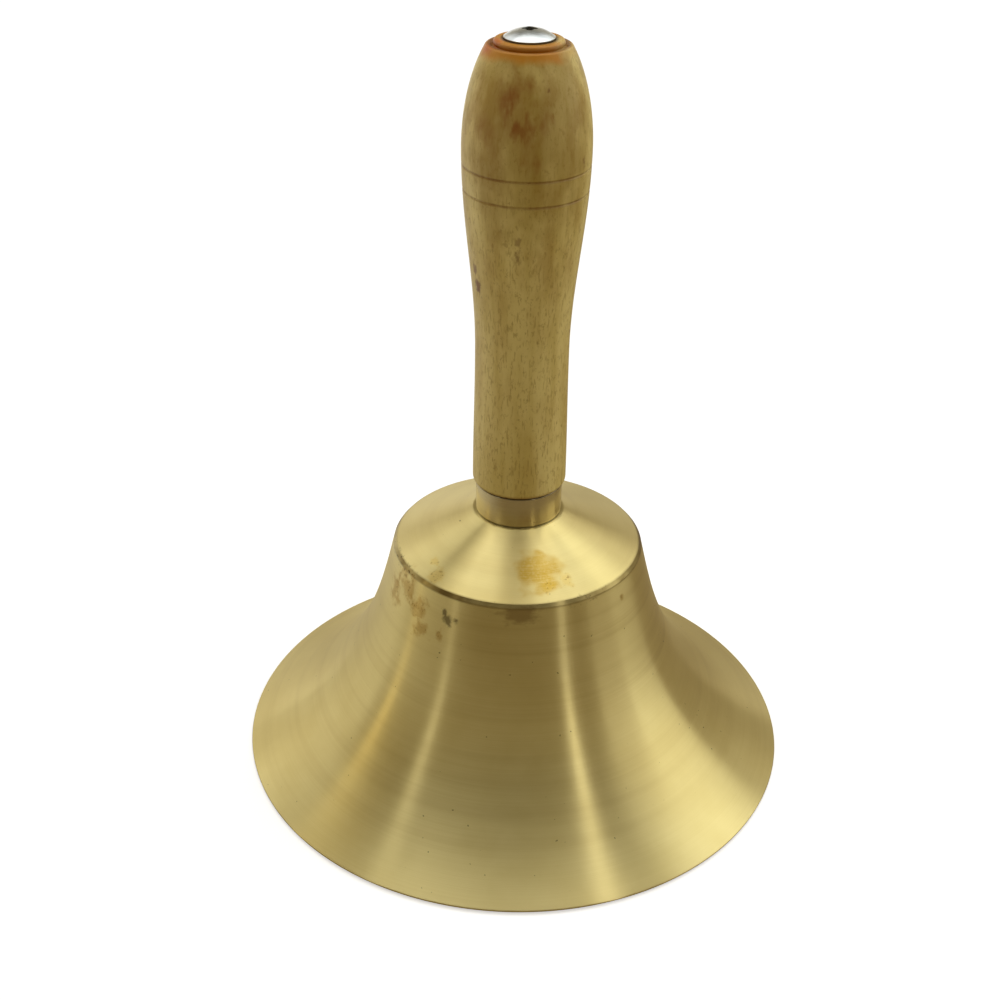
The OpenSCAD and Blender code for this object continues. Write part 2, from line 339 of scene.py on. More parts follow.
def revolve(name, outline, segments):
    """Turns a closed outline of (r, z) points, listed with the solid on the left, about Z.

    The UV map holds the turn as a share of a full turn and the distance along the outline in metres.
    """
    made = bmesh.new()
    uv = made.loops.layers.uv.new("turned")
    rings, along, normals = [], [0.0], []
    count = len(outline)
    for i in range(count):
        along.append(along[-1] + (Vector(outline[(i + 1) % count]) - Vector(outline[i])).length)
    for (r, z), (nr, nz) in zip(outline, ring_normals(outline)):
        turns = [2 * math.pi * k / segments for k in range(segments)] if r > 1e-7 else [0.0]
        rings.append([made.verts.new((r * math.cos(a), r * math.sin(a), z)) for a in turns])
        normals += [(nr * math.cos(a), nr * math.sin(a), nz) for a in turns]
    for i in range(count):
        low, high = rings[i], rings[(i + 1) % count]
        if len(low) == 1 and len(high) == 1:
            continue
        for k in range(segments):
            n = (k + 1) % segments
            corners = [(low, k, 0), (low, n, 0), (high, n, 1), (high, k, 1)]
            kept = [c for c in corners if len(c[0]) > 1 or c[1] == k]
            face = made.faces.new([ring[j % len(ring)] for ring, j, _ in kept])
            face.smooth = True
            for loop, (_, j, step) in zip(face.loops, kept):
                loop[uv].uv = ((k if j == k else k + 1) / segments, along[i + step])
    mesh = new_mesh(name, made)
    mesh.normals_split_custom_set_from_vertices(normals)
    return mesh


def sharpened(mesh, angle=32):
    """Smooth faces, with the edges that turn by more than angle degrees kept crisp."""
    made = bmesh.new()
    made.from_mesh(mesh)
    bmesh.ops.remove_doubles(made, verts=made.verts, dist=1e-7)
    bmesh.ops.recalc_face_normals(made, faces=made.faces)
    for face in made.faces:
        face.smooth = True
    for edge in made.edges:
        edge.smooth = len(edge.link_faces) == 2 and edge.calc_face_angle() < math.radians(angle)
    made.to_mesh(mesh)
    made.free()
    return mesh


def combined(mesh, others, operation):
    """The mesh after each of the others is cut from it (DIFFERENCE) or joined to it (UNION)."""
    base = bpy.data.objects.new("base", mesh)
    bpy.context.scene.collection.objects.link(base)
    helpers = []
    for other in others:
        helper = bpy.data.objects.new("helper", other)
        bpy.context.scene.collection.objects.link(helper)
        helpers.append(helper)
        step = base.modifiers.new("join", "BOOLEAN")
        step.operation = operation
        step.solver = "EXACT"
        step.object = helper
    bpy.context.view_layer.update()
    depsgraph = bpy.context.evaluated_depsgraph_get()
    result = bpy.data.meshes.new_from_object(base.evaluated_get(depsgraph))
    for helper in [base, *helpers]:
        bpy.data.objects.remove(helper)
    return result


def soften(piece, width, angle=40):
    """Rounds a piece's crisp edges by a small width."""
    edge = piece.modifiers.new("edge", "BEVEL")
    edge.width = width
    edge.segments = 3
    edge.limit_method = "ANGLE"
    edge.angle_limit = math.radians(angle)
    edge.harden_normals = True


def rod(name, radius, low, high, pitch, thread_top, chamfer):
    """A round bar along Z whose lower end is threaded: the radius follows a helix up to thread_top."""
    made = bmesh.new()
    segments, depth = 48, 0.54 * pitch
    step = pitch / 10
    heights = [low + step * i for i in range(math.ceil((thread_top - low) / step))]
    heights += [thread_top + (high - thread_top) * i / 6 for i in range(7)]
    rings = []
    for z in heights:
        fade = min(1, max(0, (thread_top - z) / (2 * pitch)))
        start = max(0, chamfer - (z - low))
        ring = []
        for k in range(segments):
            turn = k / segments
            wave = abs(((z / pitch - turn) % 1) * 2 - 1)
            cut = depth * fade * min(1, max(0, (wave - 0.12) / 0.76))
            r = min(radius - cut, radius - start)
            angle = 2 * math.pi * turn
            ring.append(made.verts.new((r * math.cos(angle), r * math.sin(angle), z)))
        rings.append(ring)
    for below, above in zip(rings, rings[1:]):
        bridge(made, below, above)
    made.faces.new(reversed(rings[0]))
    made.faces.new(rings[-1])
    return new_mesh(name, made)


def prism(name, outline, low, high, low_scale=1.0):
    """An upright prism on an (x, y) outline, tapered to low_scale at its lower end."""
    made = bmesh.new()
    under = [made.verts.new((x * low_scale, y * low_scale, low)) for x, y in outline]
    over = [made.verts.new((x, y, high)) for x, y in outline]
    bridge(made, under, over)
    made.faces.new(reversed(under))
    made.faces.new(over)
    return new_mesh(name, made)


def hex_nut(name, across_flats, low, high, bore_r):
    """A nut whose faces are turned to a low cone, which leaves the curved edges on its flats."""
    made = bmesh.new()
    segments, tan30 = 96, math.tan(math.pi / 6)
    seat_r = 0.475 * across_flats
    corner_limit = across_flats / math.sqrt(3) * 0.985
    sink = 0.35 * MM

    def side_r(k):
        from_flat = (k / segments * 2 * math.pi) % (math.pi / 3) - math.pi / 6
        return min(across_flats / 2 / math.cos(from_flat), corner_limit)

    def ring(radius_of, z_of):
        made_ring = []
        for k in range(segments):
            a, r = 2 * math.pi * k / segments, radius_of(k)
            made_ring.append(made.verts.new((r * math.cos(a), r * math.sin(a), z_of(r))))
        return made_ring

    rings = [
        ring(lambda k: bore_r, lambda r: low + sink),
        ring(lambda k: bore_r + sink, lambda r: low),
        ring(lambda k: seat_r, lambda r: low),
        ring(side_r, lambda r: low + (r - seat_r) * tan30),
        ring(side_r, lambda r: high - (r - seat_r) * tan30),
        ring(lambda k: seat_r, lambda r: high),
        ring(lambda k: bore_r + sink, lambda r: high),
        ring(lambda k: bore_r, lambda r: high - sink),
    ]
    for i, here in enumerate(rings):
        bridge(made, here, rings[(i + 1) % len(rings)])
    return sharpened(new_mesh(name, made), 20)


def yoke_strap(name):
    """A strip bent into a U: two legs with round ends, and a plate between them with small bends."""
    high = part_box("clapper_yoke")[1]
    half_w = high.x - HAIR
    middle_y = high.y - STRAP_T / 2
    bend_r = 0.6 * MM + STRAP_T / 2
    top_z = high.z - STRAP_T / 2
    side = []
    for k in range(10, 0, -1):
        a = math.pi / 2 * k / 10
        side.append((middle_y, PIN_Z - half_w * math.sin(a), half_w * math.cos(a) + 0.02 * MM))
    side.append((middle_y, PIN_Z, half_w))
    for y, z in arc(middle_y - bend_r, top_z - bend_r, bend_r, 0, 90, 8):
        side.append((y, z, half_w))
    path = side + [(-y, z, w) for y, z, w in reversed(side)]
    made = bmesh.new()
    rings = []
    for i, (y, z, w) in enumerate(path):
        before, after = path[max(0, i - 1)], path[min(len(path) - 1, i + 1)]
        ahead = Vector((after[0] - before[0], after[1] - before[1])).normalized()
        out = Vector((ahead.y, -ahead.x)) * STRAP_T / 2
        rings.append([
            made.verts.new((x, y + out.x * s, z + out.y * s))
            for x, s in ((-w, -1), (w, -1), (w, 1), (-w, 1))
        ])
    for here, ahead in zip(rings, rings[1:]):
        bridge(made, here, ahead)
    made.faces.new(rings[0])
    made.faces.new(reversed(rings[-1]))
    bmesh.ops.recalc_face_normals(made, faces=made.faces)
    strip = new_mesh(name, made)
    circle = [(math.cos(math.pi * k / 24), math.sin(math.pi * k / 24)) for k in range(48)]
    turn_r = SCREW_R + 0.05 * MM
    round_screw = [(x * turn_r, y * turn_r) for x, y in circle]
    screw_hole = prism("hole", round_screw, top_z - 2 * MM, top_z + 2 * MM)
    round_pin = [(x * PIN_R, y * PIN_R) for x, y in circle]
    pin_hole = laid_on_pin(prism("hole", round_pin, -10 * MM, 10 * MM))
    return sharpened(combined(strip, [screw_hole, pin_hole], "DIFFERENCE"))


def cross_recess():
    """The cross-shaped hole for the screwdriver, narrower at its bottom."""
    half_arm = RECESS_ARM / 2
    inner = 1.1 * RECESS_ARM
    corner = [(RECESS_REACH, -half_arm), (RECESS_REACH, half_arm), (inner, inner)]
    outline = []
    for quarter in range(4):
        c, s = [(1, 0), (0, 1), (-1, 0), (0, -1)][quarter]
        outline += [(x * c - y * s, x * s + y * c) for x, y in corner]
    return prism("recess", outline, top("tie_screw") - 1.3 * MM, top("tie_screw") + MM, 0.55)


def screw_outline():
    """The screw's domed head, closed by a round bar that runs down into the handle's bore."""
    edge = math.degrees(math.asin(HEAD_R / HEAD_DOME_R))
    return [
        (0, HANDLE_TOP - 8 * MM), (SCREW_R, HANDLE_TOP - 8 * MM), (SCREW_R, HANDLE_TOP),
        *arc(HEAD_R - 0.12 * MM, HANDLE_TOP + 0.12 * MM, 0.12 * MM, -90, 0, 4),
        *arc(0, top("tie_screw") - HEAD_DOME_R, HEAD_DOME_R, 90 - edge, 90, 20),
    ]


def clapper_rod():
    """The clapper's shank: a threaded rod whose top is pressed flat and closed round the pin."""
    bar = rod("bar", SHANK_R - HAIR, bottom("clapper_shank"), PIN_Z - PIN_R - MM, SHANK_PITCH,
              top("clapper_nut") + 4 * MM, 0.3 * MM)
    for point in bar.vertices:
        press = min(1, max(0, (point.co.z - (PIN_Z - 8 * MM)) / (4 * MM)))
        limit = SHANK_R + (EYE_T / 2 - 0.1 * MM - SHANK_R) * press
        point.co.y = max(-limit, min(limit, point.co.y))
    eye_outline = washer_outline(PIN_R + 0.05 * MM, EYE_R - HAIR, -EYE_T / 2, EYE_T / 2, 0.45 * MM)
    eye = laid_on_pin(revolve("eye", eye_outline, 96))
    return sharpened(combined(bar, [eye], "UNION"), 40)


def ball_outline():
    """The ball, bored for the shank, with a flat on top under the nut."""
    centre_z = bottom("clapper_ball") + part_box("clapper_ball")[1].x
    seat_z = top("clapper_ball")
    seat_angle = math.degrees(math.asin((seat_z - centre_z) / BALL_R))
    shank = SHANK_R
    return [
        (0, centre_z), (0, centre_z - BALL_R),
        *arc(0, centre_z, BALL_R, -88, seat_angle, 60),
        (shank + 0.3 * MM, seat_z), (shank, seat_z - 0.3 * MM), (shank, centre_z),
    ]


def pin_outline():
    """The rivet: a bar with a low domed head at each end."""
    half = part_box("yoke_pin")[1].y
    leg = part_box("clapper_yoke")[1].y
    head_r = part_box("yoke_pin")[1].x - HAIR
    dome_r = dome_radius(head_r, half - leg)
    edge = math.degrees(math.asin(head_r / dome_r))
    upper = [
        (PIN_R - HAIR, leg), (head_r - 0.1 * MM, leg),
        *arc(0, half - dome_r, dome_r, 90 - edge + 1, 90, 10),
    ]
    return [(r, -z) for r, z in reversed(upper)] + upper


def split_washer(name):
    """A spring washer: a square-section ring cut once, with its two ends sprung slightly apart."""
    low, high = bottom("crown_lock_washer"), top("crown_lock_washer")
    inner, outer = SCREW_R + 0.1 * MM, reach("crown_lock_washer") - HAIR
    section = washer_outline(inner, outer, low, high, 0.12 * MM)
    made = bmesh.new()
    steps, gap = 80, math.radians(14)
    rings = []
    for k in range(steps + 1):
        ring = []
        for r, z in section:
            lean = (z - (low + high) / 2) * math.tan(math.radians(25)) / r
            a = math.pi / 2 + gap / 2 + (2 * math.pi - gap) * k / steps + lean
            ring.append(made.verts.new((r * math.cos(a), r * math.sin(a), z)))
        rings.append(ring)
    for here, ahead in zip(rings, rings[1:]):
        bridge(made, here, ahead)
    made.faces.new(rings[0])
    made.faces.new(reversed(rings[-1]))
    bmesh.ops.recalc_face_normals(made, faces=made.faces)
    return sharpened(new_mesh(name, made), 40)


# ---------------------------------------------------------------- materials


def add_node(tree, kind, inputs=None, **settings):
    """A new node with its settings, and with each input linked to a socket or set to a value."""
    node = tree.nodes.new(kind)
    for key, value in settings.items():
        setattr(node, key, value)
    for key, value in (inputs or {}).items():
        if isinstance(value, bpy.types.NodeSocket):
            tree.links.new(value, node.inputs[key])
        else:
            node.inputs[key].default_value = value
    return node


class Surface:
    """A node material under construction. add() returns its node, and the others return an output."""

    def __init__(self, name):
        self.material = bpy.data.materials.new(name)
        self.material.use_nodes = True
        self.tree = self.material.node_tree
        self.tree.nodes.clear()
        place = self.add("ShaderNodeTexCoord")
        self.place = place.outputs["Object"]
        self.turned = place.outputs["UV"]

    def add(self, kind, inputs=None, **settings):
        return add_node(self.tree, kind, inputs, **settings)

    def math(self, operation, a, b=0.0, c=0.0):
        return self.add("ShaderNodeMath", {0: a, 1: b, 2: c}, operation=operation).outputs[0]

    def noise(self, vector, scale, detail=3.0, roughness=0.55):
        inputs = {"Vector": vector, "Scale": scale, "Detail": detail, "Roughness": roughness}
        return self.add("ShaderNodeTexNoise", inputs).outputs["Fac"]

    def stretched(self, x, y, z, vector=None):
        """Coordinates multiplied along each axis."""
        inputs = {0: vector or self.place, 1: (x, y, z)}
        return self.add("ShaderNodeVectorMath", inputs, operation="MULTIPLY").outputs[0]

    def grade(self, value, low, high, to_low=0.0, to_high=1.0):
        """A smooth step: value low gives to_low, and high gives to_high."""
        inputs = {"Value": value, "From Min": low, "From Max": high, "To Min": to_low, "To Max": to_high}
        return self.add("ShaderNodeMapRange", inputs, interpolation_type="SMOOTHSTEP").outputs[0]

    def blend(self, share, a, b):
        """The colour a where the share is 0, and b where it is 1."""
        return self.add("ShaderNodeMix", {0: share, 6: a, 7: b}, data_type="RGBA").outputs[2]

    def stain(self, tone, share, mask, colour):
        """The tone, changed towards a colour by a share where the mask is 1."""
        return self.blend(self.math("MULTIPLY", mask, share), tone, colour)

    def height(self):
        return self.add("ShaderNodeSeparateXYZ", {0: self.place}).outputs[2]

    def distance_to_axis(self):
        flat = self.stretched(1.0, 1.0, 0.0)
        return self.add("ShaderNodeVectorMath", {0: flat}, operation="LENGTH").outputs["Value"]

    def spot(self, centre, radius, ragged=0.5, grain=400.0, squash=(1.0, 1.0, 1.0)):
        """1 inside a ragged patch round a point, and 0 outside it. A squash above 1 makes it narrower."""
        offset = self.add("ShaderNodeVectorMath", {0: self.place, 1: centre}, operation="SUBTRACT")
        squashed = self.stretched(*squash, vector=offset.outputs[0])
        away = self.add("ShaderNodeVectorMath", {0: squashed}, operation="LENGTH")
        wobble = self.math("SUBTRACT", self.noise(self.stretched(*squash), grain), 0.5)
        ragged_away = self.math("MULTIPLY_ADD", wobble, radius * ragged * 3, away.outputs["Value"])
        return self.grade(ragged_away, radius, radius * (1 - ragged), 0.0, 1.0)

    def bump(self, height, distance, strength=1.0, normal=None):
        inputs = {"Height": height, "Distance": distance, "Strength": strength}
        if normal:
            inputs["Normal"] = normal
        return self.add("ShaderNodeBump", inputs).outputs[0]

    def finish(self, **inputs):
        shader = self.add("ShaderNodeBsdfPrincipled", {k.replace("_", " "): v for k, v in inputs.items()})
        self.add("ShaderNodeOutputMaterial", {"Surface": shader.outputs[0]})
        return self.material


def rgb(red, green, blue):
    """A linear colour from the 0 to 255 values that a screen shows."""
    def linear(v):
        v /= 255
        return v / 12.92 if v <= 0.04045 else ((v + 0.055) / 1.055) ** 2.4
    return linear(red), linear(green), linear(blue), 1.0


TARNISH = rgb(132, 96, 36)
PIT = rgb(66, 52, 26)
# Colour of the burnt groove on the handle, and of the painted shadow along its foot
BURNT_AND_SHADE = rgb(122, 66, 6)


def facing(azimuth, r, z):
    """A point at radius r and height z. Azimuth 0 faces the front, and 90 is towards +X."""
    a = math.radians(azimuth)
    return r * math.sin(a), -r * math.cos(a), z


def on_waist(azimuth, z):
    return facing(azimuth, waist_r(z), z)


def on_crown(azimuth, r):
    return facing(azimuth, r, SHOULDER_H + (SHOULDER_R - r) * CROWN_SLOPE)


def on_handle(azimuth, z):
    return facing(azimuth, handle_r(z - HANDLE_FOOT), z)


def turning_lines(s, count):
    """Fine lines round the axis: noise that changes fast along the outline and slowly round it."""
    along = s.add("ShaderNodeSeparateXYZ", {0: s.turned}).outputs[1]
    split = s.add("ShaderNodeSeparateXYZ", {0: s.place})
    x = s.math("MULTIPLY", split.outputs[0], 14.0)
    y = s.math("MULTIPLY", split.outputs[1], 14.0)
    z = s.math("MULTIPLY", along, count)
    vector = s.add("ShaderNodeCombineXYZ", {0: x, 1: y, 2: z}).outputs[0]
    return s.noise(vector, 1.0, 4.0, 0.65)


def brass(name, colour, dark, roughness, line_count, line_depth, anisotropy):
    """Turned brass: its colour drifts a little, and highlights spread across the turning lines."""
    s = Surface(name)
    lines = turning_lines(s, line_count)
    clouds = s.noise(s.place, 38.0, 4.0)
    tone = s.blend(s.grade(clouds, 0.35, 0.7, 0.0, 0.35), rgb(*colour), rgb(*dark))
    tone = s.blend(s.grade(lines, 0.35, 0.62, 0.14, 0.0), tone, rgb(*dark))
    return s, tone, lines, dict(
        Metallic=1.0,
        Roughness=s.grade(lines, 0.3, 0.7, roughness - 0.02, roughness + 0.03),
        Anisotropic=anisotropy,
        Anisotropic_Rotation=0.25,
        Tangent=s.add("ShaderNodeTangent", direction_type="RADIAL", axis="Z").outputs[0],
        Normal=s.bump(lines, line_depth),
    )


def crown_stains(s, tone, lines, dots):
    """A streaked amber patch on the crown's front, brown dots beside it and golden ones on the left."""
    amber, gold = rgb(196, 154, 16), rgb(214, 178, 70)
    streaks = s.grade(lines, 0.3, 0.62, 0.6, 1.0)
    speckles = s.grade(s.noise(s.place, 1600.0, 2.0), 0.3, 0.6, 0.7, 1.0)
    patch = s.spot(on_crown(12, 21.0 * MM), 7.0 * MM, 0.6, 200.0)
    tone = s.stain(tone, 0.8, s.math("MULTIPLY", patch, s.math("MULTIPLY", streaks, speckles)), amber)
    for azimuth, r, size in ((26, 24.5, 2.4), (16, 25.5, 2.0), (-44, 27.0, 2.6), (-52, 24.5, 1.6)):
        near = s.spot(on_crown(azimuth, r * MM), size * MM, 0.6, 500.0)
        tone = s.stain(tone, 0.35, near, gold)
        tone = s.stain(tone, 0.5, s.math("MULTIPLY", near, dots), TARNISH)
    return tone


def waist_stains(s, tone, dots):
    """A smudge under the shoulder's front, dark spots left of it, and brown clouds, mostly far left."""
    smudge = s.spot(on_waist(1, 54.9 * MM), 5.4 * MM, 0.6, 260.0, (1.0, 1.0, 1.9))
    tone = s.stain(tone, 0.5, smudge, rgb(122, 84, 36))
    for azimuth, z, size in ((-30.5, 50.6, 1.7), (-33, 52.4, 1.1), (-27, 51.2, 1.0)):
        tone = s.stain(tone, 0.68, s.spot(on_waist(azimuth, z * MM), size * MM, 0.8, 620.0), PIT)
    for azimuth, z, size in (
            (-58, 53.5, 4.6), (-47, 50.5, 3.4), (-44, 46.0, 3.0), (-66, 49.0, 4.0), (-34, 46.5, 1.6),
            (52, 52.5, 1.0)):
        cloud = s.spot(on_waist(azimuth, z * MM), size * MM, 0.85, 420.0)
        tone = s.stain(tone, 0.5, cloud, rgb(170, 126, 40))
        tone = s.stain(tone, 0.5, s.math("MULTIPLY", cloud, dots), TARNISH)
    return tone


def shoulder_wear(s, tone, dots):
    """A thin dull line along the shoulder's edge, with clusters of pits."""
    height = s.height()
    edge = s.math("MULTIPLY", s.grade(height, SHOULDER_H - 1.1 * MM, SHOULDER_H - 0.5 * MM),
                  s.grade(height, SHOULDER_H + 0.45 * MM, SHOULDER_H + 0.1 * MM))
    worn = s.grade(s.noise(s.place, 90.0), 0.38, 0.62, 0.5, 0.95)
    tone = s.stain(tone, 0.95, s.math("MULTIPLY", edge, worn), rgb(112, 90, 44))
    near_edge = s.math("MULTIPLY", s.grade(height, SHOULDER_H - 2.2 * MM, SHOULDER_H - 0.4 * MM),
                       s.grade(height, SHOULDER_H + 0.7 * MM, SHOULDER_H))
    clusters = s.grade(s.noise(s.place, 55.0), 0.47, 0.62)
    return s.stain(tone, 0.8, s.math("MULTIPLY", near_edge, s.math("MULTIPLY", clusters, dots)), PIT)


def bell_brass():
    """The bell's satin brass, with broad turning bands, stains, a worn shoulder and a few specks."""
    light, dark = (232, 216, 150), (204, 183, 112)
    s, tone, lines, rest = brass("bell_brass", light, dark, 0.3, 5200.0, 0.0012 * MM, 0.95)
    bands = s.noise(s.stretched(0.02, 0.02, 1.0), 260.0, 3.0)
    tone = s.stain(tone, 0.2, s.grade(bands, 0.46, 0.7), rgb(182, 158, 98))
    dots = s.grade(s.noise(s.place, 1300.0, 2.0), 0.56, 0.68)
    tone = crown_stains(s, tone, lines, dots)
    tone = waist_stains(s, tone, dots)
    tone = shoulder_wear(s, tone, dots)
    specks = s.grade(s.noise(s.place, 900.0, 1.0), 0.785, 0.81)
    return s.finish(Base_Color=s.stain(tone, 0.6, specks, PIT), **rest)


def collar_brass():
    """The collar's smoother brass, with a dark joint line at its foot and a painted shadow under the
    handle's foot above it.
    """
    light, dark = (220, 208, 168), (176, 158, 112)
    s, tone, _, rest = brass("collar_brass", light, dark, 0.2, 3600.0, 0.005 * MM, 0.5)
    # Dark line at the joint with the crown, and painted shadow under the handle's overhanging foot
    joints_and_shade = s.math("MAXIMUM", s.grade(s.height(), CROWN_TOP + 0.6 * MM, CROWN_TOP),
                   s.grade(s.height(), HANDLE_FOOT - 0.5 * MM, HANDLE_FOOT))
    return s.finish(Base_Color=s.stain(tone, 0.85, joints_and_shade, rgb(62, 48, 24)), **rest)


def spacer_brass():
    light, dark = (222, 198, 128), (170, 142, 76)
    s, tone, _, rest = brass("spacer_brass", light, dark, 0.3, 3000.0, 0.006 * MM, 0.4)
    return s.finish(Base_Color=tone, **rest)


def steel(name, light, dark, roughness, grain, scratch, wear=0.07):
    """Bare or plated steel: a cloudy colour, and a fine grain that makes its gloss vary by the wear."""
    s = Surface(name)
    clouds = s.noise(s.place, 260.0, 4.0)
    fine = s.noise(s.place, grain, 3.0, 0.7)
    tone = s.blend(s.grade(clouds, 0.35, 0.7), rgb(*light), rgb(*dark))
    tone = s.stain(tone, 0.3, s.grade(fine, 0.62, 0.75), rgb(*dark))
    return s, tone, dict(
        Metallic=1.0,
        Roughness=s.grade(fine, 0.3, 0.7, roughness - wear, roughness + wear),
        Normal=s.bump(fine, scratch),
    )


def even_steel(name, *look):
    s, tone, rest = steel(name, *look)
    return s.finish(Base_Color=tone, **rest)


def screw_zinc():
    """The screw's bright zinc, with painted shade in its recess and a painted shadow under its rim."""
    light, dark = (234, 240, 240), (220, 227, 229)
    s, tone, rest = steel("bright_zinc", light, dark, 0.3, 1500.0, 0.0002 * MM, wear=0.02)
    height, radial = s.height(), s.distance_to_axis()
    squared = s.math("MULTIPLY", radial, radial)
    surface_z = s.math("MULTIPLY_ADD", squared, -1 / (2 * HEAD_DOME_R), top("tie_screw"))
    sunk = s.grade(s.math("SUBTRACT", surface_z, height), 0.02 * MM, 0.08 * MM)
    in_recess = s.math("MULTIPLY", sunk, s.grade(radial, RECESS_REACH + 0.5 * MM, RECESS_REACH + 0.1 * MM))
    under_rim = s.grade(height, HANDLE_TOP + 0.45 * MM, HANDLE_TOP + 0.15 * MM, 0.0, 0.8)
    # Painted shade: the recess and the foot of the rim are darkened
    recess_and_rim_shade = s.math("MAXIMUM", in_recess, under_rim)
    return s.finish(Base_Color=s.stain(tone, 0.93, recess_and_rim_shade, rgb(52, 50, 40)), **rest)


def wood_grain(s, height, bands, flecks, clouds):
    """Pale wood with bands along the grain, short flecks, freckles, and mottling over the swell."""
    pale, tan, brown = rgb(239, 219, 140), rgb(214, 190, 106), rgb(148, 110, 42)
    tone = s.blend(s.grade(bands, 0.34, 0.68), pale, tan)
    low_down = s.grade(height, HANDLE_FOOT + SWELL_H, HANDLE_FOOT + 0.5 * SWELL_H, 0.6, 1.0)
    tone = s.stain(tone, 0.38, s.math("MULTIPLY", s.grade(flecks, 0.54, 0.68), low_down), brown)
    freckles = s.noise(s.stretched(1.0, 1.0, 0.6), 1100.0, 3.0, 0.7)
    tone = s.stain(tone, 0.35, s.grade(freckles, 0.55, 0.68), rgb(140, 100, 30))
    mottle = s.grade(height, HANDLE_FOOT + 0.45 * SWELL_H, HANDLE_FOOT + SWELL_H, 0.3, 1.0)
    return s.stain(tone, 0.6, s.math("MULTIPLY", s.grade(clouds, 0.44, 0.68), mottle), rgb(170, 128, 44))


def wood_stains(s, tone):
    """Painted shade high on the front, a brown blotch of upright streaks in it, and small marks lower down.
    """
    # Painted shade: the front of the handle is darkened high up
    shadow = s.spot(on_handle(-6, 158 * MM), 27 * MM, 0.75, 60.0, (1.4, 1.4, 1.0))
    tone = s.stain(tone, 0.55, shadow, rgb(156, 121, 22))
    streaks = s.grade(s.noise(s.stretched(1.0, 1.0, 0.3), 420.0, 3.0), 0.36, 0.6, 0.25, 1.0)
    for azimuth, z, size, share in ((-16, 164, 9.0, 0.9), (2, 158, 7.5, 0.6), (-34, 159, 6.0, 0.45)):
        blotch = s.spot(on_handle(azimuth, z * MM), size * MM, 0.85, 130.0, (1.5, 1.5, 1.0))
        tone = s.stain(tone, share, s.math("MULTIPLY", blotch, streaks), rgb(150, 92, 16))
    for azimuth, z, size, share in (
            (-59, 124.0, 2.6, 0.85), (-62, 127.5, 1.8, 0.7), (-8, 133, 2.0, 0.6), (-7, 136.5, 1.6, 0.5),
            (20, 167.5, 0.8, 0.6), (58, 152, 1.4, 0.7), (75, 112, 1.2, 0.5), (160, 140, 2.4, 0.5)):
        mark = s.spot(on_handle(azimuth, z * MM), size * MM, 0.8, 600.0, (1.8, 1.8, 1.0))
        tone = s.stain(tone, share, mark, rgb(124, 74, 26))
    return tone


def varnished_top(s, tone, height, bands):
    """Orange varnish round the top, thin on the right and thick on the left, a dark groove, and dirt with a
    painted shadow round the screw.
    """
    edge = s.math("MULTIPLY_ADD", bands, 2.6 * MM, height)
    thin = s.spot((9.0 * MM, -2.0 * MM, HANDLE_TOP - MM), 6.5 * MM, 0.6, 160.0)
    varnish = s.math("MULTIPLY", s.grade(edge, HANDLE_TOP - 2.4 * MM, HANDLE_TOP - 0.4 * MM),
                     s.math("MULTIPLY_ADD", thin, -0.6, 0.88))
    tone = s.stain(tone, 1.0, varnish, rgb(204, 132, 10))
    thick = s.spot((-7.6 * MM, -2.6 * MM, HANDLE_TOP - 0.6 * MM), 3.0 * MM, 0.5, 300.0)
    tone = s.stain(tone, 0.7, thick, rgb(200, 100, 4))
    radial = s.distance_to_axis()
    in_groove = s.math("MULTIPLY", s.grade(radial, BEAD_R + 0.4 * MM, BEAD_R + 0.9 * MM),
                       s.grade(radial, DOME_EDGE_R - 0.1 * MM, DOME_EDGE_R - 0.7 * MM))
    groove = s.math("MULTIPLY", in_groove, s.grade(height, HANDLE_TOP - 2.4 * MM, HANDLE_TOP - 1.6 * MM))
    tone = s.stain(tone, 0.6, groove, BURNT_AND_SHADE)
    # Dirt and a painted contact shadow on the wood round the screw's head
    at_screw = s.math("MULTIPLY", s.grade(radial, HEAD_R + 0.9 * MM, HEAD_R + 0.1 * MM),
                      s.grade(height, HANDLE_TOP - 0.3 * MM, HANDLE_TOP - 0.1 * MM))
    return s.stain(tone, 0.75, at_screw, rgb(58, 44, 24))


def burnt_rings_and_foot_shade(s, tone, height, clouds):
    """Two thin burnt rings of uneven strength, and a painted shadow along the edge of the foot."""
    strength = s.grade(clouds, 0.36, 0.6, 0.4, 0.95)
    for ring in BURNT_RINGS:
        away = s.math("ABSOLUTE", s.math("SUBTRACT", height, ring))
        line = s.math("MULTIPLY", s.grade(away, 0.5 * MM, 0.1 * MM), strength)
        tone = s.stain(tone, 0.62, line, rgb(132, 84, 18))
    # Painted shadow: the foot's lower edge is darkened
    return s.stain(tone, 0.7, s.grade(height, HANDLE_FOOT + 1.3 * MM, HANDLE_FOOT + 0.3 * MM), BURNT_AND_SHADE)


def handle_wood():
    """Varnished close-grained wood, stained by use and burnt in two rings."""
    s = Surface("handle_wood")
    height = s.height()
    bands = s.noise(s.stretched(1.0, 1.0, 0.12), 170.0, 4.0)
    flecks = s.noise(s.stretched(1.0, 1.0, 0.17), 2100.0, 2.0, 0.6)
    clouds = s.noise(s.stretched(1.0, 1.0, 0.45), 130.0, 4.0, 0.65)
    tone = wood_grain(s, height, bands, flecks, clouds)
    tone = wood_stains(s, tone)
    tone = varnished_top(s, tone, height, bands)
    tone = burnt_rings_and_foot_shade(s, tone, height, clouds)
    return s.finish(
        Base_Color=tone,
        Roughness=s.grade(flecks, 0.35, 0.7, 0.42, 0.56),
        Normal=s.bump(bands, 0.04 * MM, 0.4, s.bump(flecks, 0.012 * MM, 0.5)),
        Specular_IOR_Level=0.35,
        Coat_Weight=0.15,
        Coat_Roughness=0.36,
    )


# ---------------------------------------------------------------- pieces


